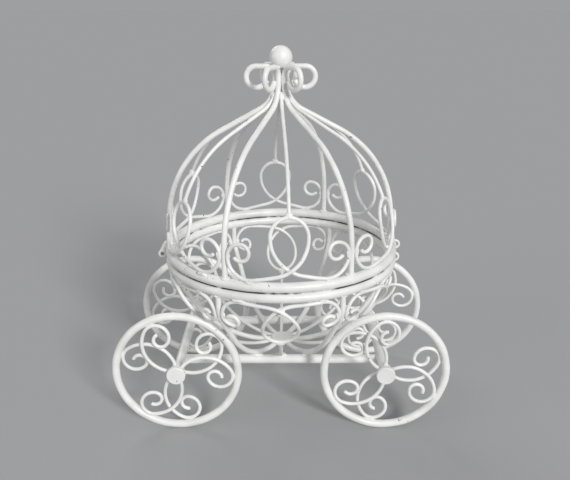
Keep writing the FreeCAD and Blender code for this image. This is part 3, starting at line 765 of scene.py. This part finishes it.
class COACH_OT_rings(EnamelOperator, bpy.types.Operator):
    """Two mouth rings of bent rod"""
    bl_idname = "coach.rings"
    bl_label = "Mouth rings"

    def execute(self, context):
        meshing = self.scene.coach_meshing
        circle = unit_circle(meshing.ring_steps)
        split = (LID_Z + BASE_Z) / 2
        # Painted shade: the rings' enamel gets a broken dark line at the split's height, for wear and for the
        # shade in the groove where the rings meet
        worn_and_shaded_split = dipped_enamel("enamel_rubbed_at_split", self.scene.coach_finish, PEEL, split)
        for node, z, body in (("lid_ring", LID_Z, "lid"), ("base_ring", BASE_Z, "base")):
            centre = circle * MOUTH + Z_AXIS * z
            grid = tube_grid(
                centre, circle, RING_ROD / 2, meshing.rod_sides, SEEDS[node],
                self.scene.coach_finish.unevenness, closed=True)
            piece = skin("dressed_" + node, [grid], body, worn_and_shaded_split, closed=True)
            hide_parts(node)
        return {"FINISHED"}


class COACH_OT_ribs(EnamelOperator, bpy.types.Operator):
    """Six dome ribs that end in crown curls, and six bowl ribs"""
    bl_idname = "coach.ribs"
    bl_label = "Ribs"

    def execute(self, context):
        meshing = self.scene.coach_meshing
        inside_ring = RING_ROD / 2 - SKIN_ENTRY
        dome = dome_rib()
        bowl_end = BOWL_PROFILE.length - PLATE_ENTRY + SKIN_ENTRY
        families = (
            ("lid_rib", dome, inside_ring, dome.length, "lid", LID_CLOCK),
            ("bowl_rib", BOWL_PROFILE, inside_ring, bowl_end, "base", 0.0),
        )
        for stem, plan, start, end, body, clock in families:
            run, line = upright_line(plan, start, end, meshing.wire_step, blunt(RIB_ROD))
            radius = RIB_ROD / 2 * end_round(run, blunt(RIB_ROD))
            for side in range(SIDES):
                node = "%s_%d" % (stem, side + 1)
                grid = tube_grid(
                    line, np.broadcast_to(Y_AXIS, line.shape), radius, meshing.wire_sides + 2,
                    SEEDS["ribs"] + side, self.scene.coach_finish.unevenness)
                grid = turned(grid, clock + side * 360 / SIDES)
                piece = skin("dressed_" + node, [grid], body, self.enamel())
                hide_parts(node)
        return {"FINISHED"}


class COACH_OT_scrolls(EnamelOperator, bpy.types.Operator):
    """Scroll panels: one bent wire each, six round the dome and six round the bowl"""
    bl_idname = "coach.scrolls"
    bl_label = "Scroll panels"

    def execute(self, context):
        meshing = self.scene.coach_meshing
        for stem, panel, body, clock in (
                ("lid_scroll", LID_PANEL, "lid", LID_CLOCK), ("bowl_scroll", BOWL_PANEL, "base", 0.0)):
            whole = runs(2 * panel.half.length, meshing.wire_step, blunt(SCROLL_WIRE))
            run = np.abs(whole - panel.half.length)
            hand = np.where(whole < panel.half.length, 1.0, -1.0)
            centre, normal = panel.place(run, hand)
            radius = SCROLL_WIRE / 2 * end_round(whole, blunt(SCROLL_WIRE))
            for side in range(SIDES):
                node = "%s_%d" % (stem, side + 1)
                grid = tube_grid(
                    centre, normal, radius, meshing.wire_sides, SEEDS["scrolls"] + side,
                    self.scene.coach_finish.unevenness * THIN_SHARE)
                grid = turned(grid, clock + (side + 0.5) * 360 / SIDES)
                piece = skin("dressed_" + node, [grid], body, self.enamel())
                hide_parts(node)
        return {"FINISHED"}


class COACH_OT_stays(EnamelOperator, bpy.types.Operator):
    """Thin stays from the loops to the neck and to the floor plate"""
    bl_idname = "coach.stays"
    bl_label = "Stays"

    def execute(self, context):
        meshing = self.scene.coach_meshing
        unevenness = self.scene.coach_finish.unevenness * THIN_SHARE
        joined = SCROLL_WIRE / 2 - WELD_SINK
        run, line = upright_line(
            DOME_PROFILE, LID_PANEL.tip + joined, stay_reach(), meshing.wire_step, blunt(STAY_WIRE))
        radius = STAY_WIRE / 2 * end_round(run, blunt(STAY_WIRE))
        flat = np.broadcast_to(Y_AXIS, line.shape)
        for side in range(SIDES):
            node = "lid_stay_%d" % (side + 1)
            seed = SEEDS["lid_stays"] + side
            grid = tube_grid(line, flat, radius, meshing.wire_sides, seed, unevenness)
            grid = turned(grid, LID_CLOCK + (side + 0.5) * 360 / SIDES)
            piece = skin("dressed_" + node, [grid], "lid", self.enamel())
            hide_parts(node)
        run, line = upright_line(
            BOWL_PROFILE, BOWL_PANEL.tip + joined, BOWL_PROFILE.length - PLATE_ENTRY + SKIN_ENTRY,
            meshing.wire_step, blunt(STAY_WIRE), -stay_lift())
        radius = STAY_WIRE / 2 * end_round(run, blunt(STAY_WIRE))
        flat = np.broadcast_to(Y_AXIS, line.shape)
        grids = []
        for side in range(SIDES):
            seed = SEEDS["bowl_stays"] + side
            grid = tube_grid(line, flat, radius, meshing.wire_sides, seed, unevenness)
            grids.append(turned(grid, (side + 0.5) * 360 / SIDES))
        piece = skin("dressed_bowl_stays", grids, "base", self.enamel())
        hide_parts("bowl_stays")
        return {"FINISHED"}


def wheel_point(name, points):
    """Points of a wheel's flat frame, with its outer face towards +Z, set in the wheel's place."""
    y_side, _ = WHEELS[name]
    centre = middle("wheel_%s_hub" % name)
    x, y, z = np.moveaxis(points, -1, 0)
    return centre + np.stack([x, y_side * z, -y_side * y], -1)


class COACH_OT_wheels(EnamelOperator, bpy.types.Operator):
    """Rims and petal spokes of the four wheels"""
    bl_idname = "coach.wheels"
    bl_label = "Wheels"

    def execute(self, context):
        meshing = self.scene.coach_meshing
        unevenness = self.scene.coach_finish.unevenness
        plan = spoke_plan()
        run = runs(plan.length, meshing.wire_step, blunt(SPOKE_WIRE))
        x, y, _ = plan.at(run)
        radius = SPOKE_WIRE / 2 * end_round(run, blunt(SPOKE_WIRE))
        layer = (SPOKE_WIRE + STRAND_GAP) / 2
        circle = unit_circle(meshing.ring_steps)
        upward = np.broadcast_to(Z_AXIS, (len(run), 3))
        for number, (name, (y_side, phase)) in enumerate(WHEELS.items()):
            rim = tube_grid(
                circle * (WHEEL_RADIUS - RIM_ROD / 2), circle, RIM_ROD / 2, meshing.rod_sides,
                SEEDS["rims"] + number, unevenness, closed=True)
            piece = skin(
                "dressed_wheel_%s_rim" % name, [wheel_point(name, rim)], "wheel_" + name,
                self.enamel(), closed=True)
            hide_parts("wheel_%s_rim" % name)
            grids = []
            for hand in (1, -1):
                line = np.stack([x, hand * y, np.full_like(x, hand * layer)], -1)
                for petal in range(PETALS):
                    seed = SEEDS["spokes"] + number * 10 + petal * 2 + (hand > 0)
                    grid = tube_grid(
                        line, upward, radius, meshing.wire_sides, seed, unevenness * THIN_SHARE)
                    turn = -y_side * phase + petal * 360 / PETALS
                    grids.append(wheel_point(name, turned(grid, turn)))
            piece = skin(
                "dressed_wheel_%s_spokes" % name, grids, "wheel_" + name, self.enamel())
            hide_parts("wheel_%s_spokes" % name)
        return {"FINISHED"}


def bead_grid(centre, along, out, half, seed, grid=BEAD_GRID, swell=SWELL):
    """Lumpy weld bead on three half lengths, along, out and across.

    P(t, a) = C + cos t (A e1) + sin t (B cos a e2 + D sin a e3), swollen by two seeded waves.
    About one bead in seven is larger by the swell.
    """
    dice = np.random.default_rng(seed)
    e1 = unit(np.asarray(along, float))
    e3 = unit(np.cross(e1, out))
    e2 = np.cross(e3, e1)
    rows, columns = grid
    t = np.linspace(math.pi - BEAD_TIP, BEAD_TIP, rows)[:, None]
    a = (np.arange(columns) * 2 * math.pi / columns)[None]
    shift = dice.uniform(0, 2 * math.pi, 3)
    lumps = 1 + LUMPS_ROUND * np.sin(2 * a + shift[0]) * np.sin(t)
    lumps = lumps + LUMPS_ALONG * np.sin(5 * t + shift[1] + a)
    grow = dice.uniform(*GROWTH) + swell * (dice.uniform() > SWELL_ABOVE)
    shape = np.cos(t)[..., None] * half[0] * e1
    round_part = np.cos(a)[..., None] * half[1] * e2 + np.sin(a)[..., None] * half[2] * e3
    shape = shape + np.sin(t)[..., None] * round_part
    return np.asarray(centre, float) + grow * lumps[..., None] * shape


def between(point, other, reach):
    """Point at a distance from one wire's centre towards another's, and that direction."""
    toward = unit(other - point)
    return point + toward * reach, toward


def around_z(vector, degrees):
    """Vector given as a list, turned about Z."""
    return turned(np.asarray(vector, float), degrees)


def out_and_along(angle):
    """Directions out from the middle and along a ring, at an angle in radians."""
    outward = np.array([math.cos(angle), math.sin(angle), 0.0])
    return outward, np.cross(Z_AXIS, outward)


def panel_welds(panel, ring_z, clock, seed):
    """Beads where the scroll wires meet their ring, the ribs, the stays and each other."""
    grids = []
    wire = SCROLL_WIRE / 2
    side_at = panel.touch_at + panel.outer * math.pi / 2
    places = np.array([panel.touch_at, side_at, 0.0, panel.cross_at])
    for side in range(SIDES):
        middle_angle = clock + (side + 0.5) * 360 / SIDES
        for hand in (1.0, -1.0):
            points, normals = panel.place(places, np.full(4, hand))
            points = turned(points, middle_angle)
            normals = turned(normals, middle_angle)
            seed += 10
            outward, tangent = out_and_along(math.atan2(points[0, 1], points[0, 0]))
            ring = outward * MOUTH + Z_AXIS * ring_z
            spot, toward = between(points[0], ring, wire)
            spot = spot + normals[0] * RING_BEAD_OUT
            grids.append(bead_grid(spot, tangent, toward, BEADS["ring"], seed))
            r, z, heading = panel.profile.at(panel.touch + panel.outer)
            rib_angle = middle_angle + hand * 180 / SIDES
            rib = around_z([r, 0, z], rib_angle)
            along = around_z([math.cos(heading), 0, math.sin(heading)], rib_angle)
            spot, toward = between(points[1], rib, wire)
            spot = spot + normals[1] * RIB_BEAD_OUT
            grids.append(bead_grid(spot, along, toward, BEADS["rib"], seed + 1))
            if hand > 0:
                r, z, heading = panel.profile.at(panel.tip + wire, panel.outward * panel.tip_stand)
                spot = around_z([r, 0, z], middle_angle)
                along = around_z([math.cos(heading), 0, math.sin(heading)], middle_angle)
                grids.append(bead_grid(spot, along, normals[2], BEADS["loop_tip"], seed + 2))
                inner = turned(panel.place(places, np.full(4, -1.0))[0], middle_angle)
                half_way = (points[3] + inner[3]) / 2
                grids.append(bead_grid(half_way, tangent, normals[3], BEADS["crossing"], seed + 3))
    return grids


def rib_foot_welds(ring_z, up, clock, seed):
    """Pads where the ribs stand on their ring."""
    grids = []
    for side in range(SIDES):
        outward, tangent = out_and_along(math.radians(clock + side * 360 / SIDES))
        foot = outward * MOUTH + Z_AXIS * (ring_z + up * (RING_ROD / 2 - WELD_SINK))
        grids.append(bead_grid(foot, tangent, outward, BEADS["rib_foot"], seed + side, PAD_GRID))
    return grids


def crown_welds(seed):
    """Beads between the ball and the bends under it, and where the stays end in the hollow."""
    grids = []
    plan = dome_rib()
    bend_x = NECK_RADIUS + CROWN["bend"]
    bend_z = DOME_PROFILE.points[-1][1] + CROWN["rise"]
    to_ball = Z_AXIS * BALL[2] - np.array([bend_x, 0.0, bend_z])
    contact = Z_AXIS * BALL[2] - unit(to_ball) * BALL_RADIUS
    stay_end = stay_reach()
    r, z, heading = plan.at(stay_end)
    for side in range(SIDES):
        turn = LID_CLOCK + side * 360 / SIDES
        across = around_z([0, 1, 0], turn)
        toward = around_z(to_ball, turn)
        grids.append(bead_grid(around_z(contact, turn), across, toward, BEADS["ball"], seed + side))
        turn += 180 / SIDES
        along = around_z([math.cos(heading), 0, math.sin(heading)], turn)
        up = around_z([math.sin(heading), 0, -math.cos(heading)], turn)
        end = around_z([r, 0, z], turn)
        grids.append(bead_grid(end, along, up, BEADS["stay_end"], seed + 10 + side))
    return grids


def stay_reach():
    """Distance along the dome at which a stay fills the wedge between two ribs."""
    wedge = (RIB_ROD / 2 + STAY_WIRE / 2 - WELD_SINK) / (2 * math.sin(math.pi / SIDES / 2))
    left = math.acos(1 - (wedge - NECK_RADIUS) / DOME["ogee"])
    return DOME_PROFILE.length - DOME["ogee"] * left


def chassis_welds(seed):
    """Beads where the bowl lies on the rails, collars where the rails meet the axles."""
    grids = []
    top = RAIL_Z + RAIL_ROD / 2
    slanted = RAIL_Y / math.tan(2 * math.pi / SIDES)
    for y_side in (-1, 1):
        for x in (-slanted, 0.0, slanted):
            seed += 1
            spot = np.array([x, y_side * RAIL_Y, top])
            grids.append(bead_grid(spot, X_AXIS, Y_AXIS, BEADS["rail"], seed))
        for x_side in (-1, 1):
            seed += 1
            x = x_side * (AXLE_X - RAIL_ROD / 2 + COLLAR_IN)
            spot = np.array([x, y_side * RAIL_Y, RAIL_Z + COLLAR_UP])
            grids.append(bead_grid(spot, Y_AXIS, X_AXIS, BEADS["axle"], seed, COLLAR_GRID))
    return grids


def fitting_welds(node, ring_z, seed):
    """Two beads where a closure eye meets its ring."""
    spot = middle(node)
    outward, tangent = out_and_along(math.atan2(spot[1], spot[0]))
    ring = outward * MOUTH + Z_AXIS * ring_z
    toward = unit(spot - ring)
    foot = ring + toward * (RING_ROD / 2)
    above = np.cross(toward, tangent)
    return [
        bead_grid(foot + above * shift, tangent, toward, BEADS["eye"], seed + number)
        for number, shift in enumerate((-EYE_BEAD_SHIFT, EYE_BEAD_SHIFT))
    ]


def wheel_welds(name, seed):
    """Beads where the spokes touch the rim and enter the hub."""
    grids = []
    plan = spoke_plan()
    layer = (SPOKE_WIRE + STRAND_GAP) / 2
    spread = math.radians(PETAL["spread"])
    x, y, heading = plan.at(np.linspace(0, ENTRY_RUN, ENTRY_STEPS))
    entry = int(np.argmax(np.hypot(x, y) >= HUB_RADIUS + HUB_BEAD_OUT))
    rim_radius = WHEEL_RADIUS - RIM_ROD / 2
    joined = RIM_ROD / 2 + SPOKE_WIRE / 2 - WELD_SINK
    contact = rim_radius - math.sqrt(joined ** 2 - layer ** 2)
    y_side, phase = WHEELS[name]
    for hand in (1, -1):
        toward_rim = np.array([math.cos(spread), -hand * math.sin(spread), 0.0])
        wire = toward_rim * contact + Z_AXIS * (hand * layer)
        spot, toward = between(wire, toward_rim * rim_radius, SPOKE_WIRE / 2)
        tangent = np.cross(Z_AXIS, toward_rim)
        hub = np.array([x[entry], hand * y[entry], hand * layer])
        inward = np.array([math.cos(heading[entry]), hand * math.sin(heading[entry]), 0.0])
        for petal in range(PETALS):
            seed += 3
            beads = [
                bead_grid(spot, tangent, toward, BEADS["rim"], seed),
                bead_grid(hub, inward, Z_AXIS, BEADS["hub"], seed + 1, swell=0.0),
            ]
            turn = -y_side * phase + petal * 360 / PETALS
            grids += [wheel_point(name, turned(grid, turn)) for grid in beads]
    return grids


def spatter(ring_z, up, clock, seed):
    """Small drops on a ring beside the rib feet, at seeded places."""
    dice = np.random.default_rng(seed)
    grids = []
    for number in range(SIDES * DROPS):
        degrees = clock + (number % SIDES) * 360 / SIDES + dice.normal(0, DROP_SPREAD)
        lean = dice.uniform(*DROP_LEAN)
        outward, tangent = out_and_along(math.radians(degrees))
        out = outward * math.sin(lean) + Z_AXIS * (up * math.cos(lean))
        spot = outward * MOUTH + Z_AXIS * ring_z + out * (RING_ROD / 2)
        drop = dice.uniform(*DROP_SIZES)
        half = [drop * share for share in DROP_SHAPE]
        grids.append(bead_grid(spot, tangent, out, half, seed + number, DROP_GRID))
    return grids


class COACH_OT_welds(EnamelOperator, bpy.types.Operator):
    """Enamelled weld beads, pads and drops where the wires are joined"""
    bl_idname = "coach.welds"
    bl_label = "Welds"

    def execute(self, context):
        rough = dipped_enamel("enamel_over_welds", self.scene.coach_finish, WELD_PEEL)
        works = {
            "lid_scroll_welds": ("lid", panel_welds, (LID_PANEL, LID_Z, LID_CLOCK)),
            "bowl_scroll_welds": ("base", panel_welds, (BOWL_PANEL, BASE_Z, 0.0)),
            "lid_rib_welds": ("lid", rib_foot_welds, (LID_Z, 1, LID_CLOCK)),
            "bowl_rib_welds": ("base", rib_foot_welds, (BASE_Z, -1, 0.0)),
            "crown_welds": ("lid", crown_welds, ()),
            "chassis_welds": ("base", chassis_welds, ()),
            "lid_eye_welds": ("lid", fitting_welds, ("lid_eye", LID_Z)),
            "base_eye_welds": ("base", fitting_welds, ("base_eye", BASE_Z)),
            "lid_spatter": ("lid", spatter, (LID_Z, 1, LID_CLOCK)),
            "bowl_spatter": ("base", spatter, (BASE_Z, -1, 0.0)),
        }
        for name, (body, make, values) in works.items():
            skin(name, make(*values, SEEDS[name]), body, rough)
        for number, name in enumerate(WHEELS):
            grids = wheel_welds(name, SEEDS["wheel_welds"] + 100 * number)
            skin("wheel_%s_welds" % name, grids, "wheel_" + name, rough)
        return {"FINISHED"}


class COACH_OT_finial(EnamelOperator, bpy.types.Operator):
    """Ball on the crown"""
    bl_idname = "coach.finial"
    bl_label = "Finial ball"

    def execute(self, context):
        # Round skin on an upright line: height -R cos p and radius R sin p at the polar angle p
        meshing = self.scene.coach_meshing
        polar = np.linspace(BALL_POLE, math.pi - BALL_POLE, meshing.ball_rows)
        line = BALL - Z_AXIS * (np.cos(polar) * BALL_RADIUS)[:, None]
        normal = np.broadcast_to(Y_AXIS, line.shape)
        grid = tube_grid(
            line, normal, np.sin(polar) * BALL_RADIUS, meshing.ball_sides, SEEDS["ball"],
            self.scene.coach_finish.unevenness * BALL_SHARE)
        piece = skin("dressed_finial_ball", [grid], "lid", self.enamel())
        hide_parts("finial_ball")
        return {"FINISHED"}


class COACH_OT_fittings(EnamelOperator, bpy.types.Operator):
    """Finish of the solids that stay as they are: chassis, hubs, caps, hinge, eyes, plate and stem"""
    bl_idname = "coach.fittings"
    bl_label = "Fittings"

    def execute(self, context):
        steel = drawn_steel("drawn_steel", self.scene.coach_finish)
        for name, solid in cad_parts.items():
            if solid.hide_render:
                continue
            solid.data.materials.clear()
            solid.data.materials.append(steel if name == "hinge_pin" else self.enamel())
        return {"FINISHED"}


class COACH_OT_stage(bpy.types.Operator):
    """Pale floor, soft lights and the camera"""
    bl_idname = "coach.stage"
    bl_label = "Stage"

    def execute(self, context):
        scene = bpy.context.scene
        stage = scene.coach_stage
        scene.view_settings.view_transform = "Standard"
        self.add_floor(stage)
        self.add_lights(scene, stage)
        camera = bpy.data.cameras.new("camera")
        camera.sensor_width = CAMERA_FRAME
        camera.lens = stage.lens
        camera.clip_start = CAMERA_NEAR
        view = bpy.data.objects.new("camera", camera)
        elevation = math.radians(CAMERA_ELEVATION)
        away = np.array([0, -math.cos(elevation), math.sin(elevation)]) * CAMERA_DISTANCE
        view.location = (np.array(CAMERA_AIM) + away) * MM
        view.rotation_euler = (math.pi / 2 - elevation, 0, 0)
        scene.collection.objects.link(view)
        scene.camera = view
        return {"FINISHED"}

    def add_floor(self, stage):
        """Level disc: P(r, a) = (r cos a, r sin a, 0) out to a radius far behind the coach."""
        grid = np.array(FLOOR_RADII)[:, None, None] * unit_circle(FLOOR_SIDES)
        faces = grid_faces(len(FLOOR_RADII), FLOOR_SIDES, False, 0)[:, ::-1].tolist()
        faces.append(list(range(FLOOR_SIDES)))
        mesh = bpy.data.meshes.new("floor")
        mesh.from_pydata(grid.reshape(-1, 3).tolist(), [], faces)
        mesh.materials.append(matt_paper("pale_paper", stage.floor_colour))
        floor = bpy.data.objects.new("floor", mesh)
        bpy.context.scene.collection.objects.link(floor)

    def add_lights(self, scene, stage):
        """Broad key from the front right, weak light from the left and behind, even light all round."""
        world = bpy.data.worlds.new("studio")
        world.use_nodes = True
        background = world.node_tree.nodes["Background"]
        background.inputs["Color"].default_value = linear(stage.room_colour)
        background.inputs["Strength"].default_value = stage.room_light
        scene.world = world
        for name, (spread, place) in LIGHTS.items():
            lamp = bpy.data.lights.new(name, "SUN")
            lamp.energy = getattr(stage, name + "_strength")
            lamp.angle = math.radians(spread)
            item = bpy.data.objects.new(name, lamp)
            item.location = place
            aim = np.array(LIGHT_AIM) - np.array(place)
            level = math.hypot(aim[0], aim[1])
            item.rotation_euler = (math.atan2(level, -aim[2]), 0, math.atan2(-aim[0], aim[1]))
            scene.collection.objects.link(item)


OPERATORS = (
    COACH_OT_rings,
    COACH_OT_ribs,
    COACH_OT_scrolls,
    COACH_OT_stays,
    COACH_OT_wheels,
    COACH_OT_finial,
    COACH_OT_welds,
    COACH_OT_fittings,
    COACH_OT_stage,
)


class COACH_PT_panel(bpy.types.Panel):
    """Lists the coach's values and pieces"""
    bl_label = "Wire coach"
    bl_idname = "COACH_PT_panel"
    bl_space_type = "VIEW_3D"
    bl_region_type = "UI"
    bl_category = "Wire coach"

    def draw(self, context):
        for name, group_type in GROUPS.items():
            group = getattr(context.scene, name)
            box = self.layout.box()
            for key in group_type.__annotations__:
                box.prop(group, key)
        for operator in OPERATORS:
            self.layout.operator(operator.bl_idname)


def register():
    for key, group in GROUPS.items():
        bpy.utils.register_class(group)
        setattr(bpy.types.Scene, key, bpy.props.PointerProperty(type=group))
    for item in (*OPERATORS, COACH_PT_panel):
        bpy.utils.register_class(item)


def unregister():
    for item in reversed((*OPERATORS, COACH_PT_panel)):
        bpy.utils.unregister_class(item)
    for key, group in GROUPS.items():
        delattr(bpy.types.Scene, key)
        bpy.utils.unregister_class(group)


def main():
    register()
    for operator in OPERATORS:
        family, action = operator.bl_idname.split(".")
        getattr(getattr(bpy.ops, family), action)()


if __name__ == "__main__":
    main()
